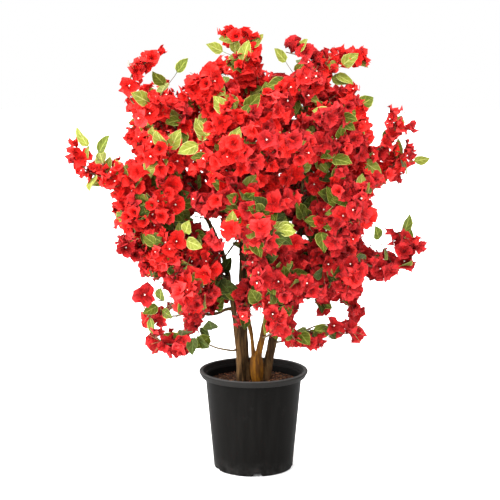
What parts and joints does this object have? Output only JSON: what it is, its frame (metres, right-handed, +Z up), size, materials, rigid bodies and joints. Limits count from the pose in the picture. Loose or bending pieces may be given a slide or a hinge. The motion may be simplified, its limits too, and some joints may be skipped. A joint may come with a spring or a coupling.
{
  "type": "artificial potted bougainvillea",
  "caption": "Artificial bougainvillea bush with red silk blossom and green leaves on bare wooden stems, standing in a plain black nursery pot.",
  "frame": {"origin": "centre of the pot's flat underside, on the surface that it stands on", "axes": "+Z up the plant, -Y towards the front of the crown, +X to the right when seen from the front"},
  "size_m": [0.9449, 0.7977, 1.1544],
  "materials": {
    "pot": "satin black",
    "fill": "loose brown chips",
    "bark": "rough dark bark",
    "pale_wood": "rough golden brown wood",
    "silk": "matte silk, red bracts and green leaves"
  },
  "bodies": {
    "root": {"pot": "pot", "fill": "fill", "stem_left": "bark", "stem_centre": "bark", "stem_right": "bark", "bough_left_low": "bark", "bough_left_front": "bark", "bough_left_back": "bark", "bough_centre_front": "bark", "bough_centre_back": "bark", "bough_centre_top": "bark", "bough_right_front": "bark", "bough_right_back": "bark", "bough_right_low": "bark", "stem_pale": "pale_wood", "pale_arm_left": "pale_wood", "pale_arm_right": "pale_wood", "skirt_1": "silk", "skirt_2": "silk", "skirt_3": "silk", "skirt_4": "silk", "skirt_5": "silk", "low_1": "silk", "low_2": "silk", "low_3": "silk", "low_4": "silk", "low_5": "silk", "low_6": "silk", "low_7": "silk", "waist_1": "silk", "waist_2": "silk", "waist_3": "silk", "waist_4": "silk", "waist_5": "silk", "waist_6": "silk", "shoulder_1": "silk", "shoulder_2": "silk", "shoulder_3": "silk", "shoulder_4": "silk", "shoulder_5": "silk", "shoulder_6": "silk", "top_1": "silk", "top_2": "silk", "top_3": "silk", "streamer_left": "silk", "streamer_left_high": "silk", "streamer_top": "silk", "streamer_top_right": "silk", "streamer_right_top": "silk", "streamer_right_high": "silk", "streamer_right": "silk", "streamer_right_hook": "silk", "streamer_right_low": "silk", "streamer_front_low": "silk", "streamer_left_low": "silk", "streamer_left_hook": "silk", "streamer_back": "silk", "streamer_back_left": "silk"}
  },
  "joints": []
}
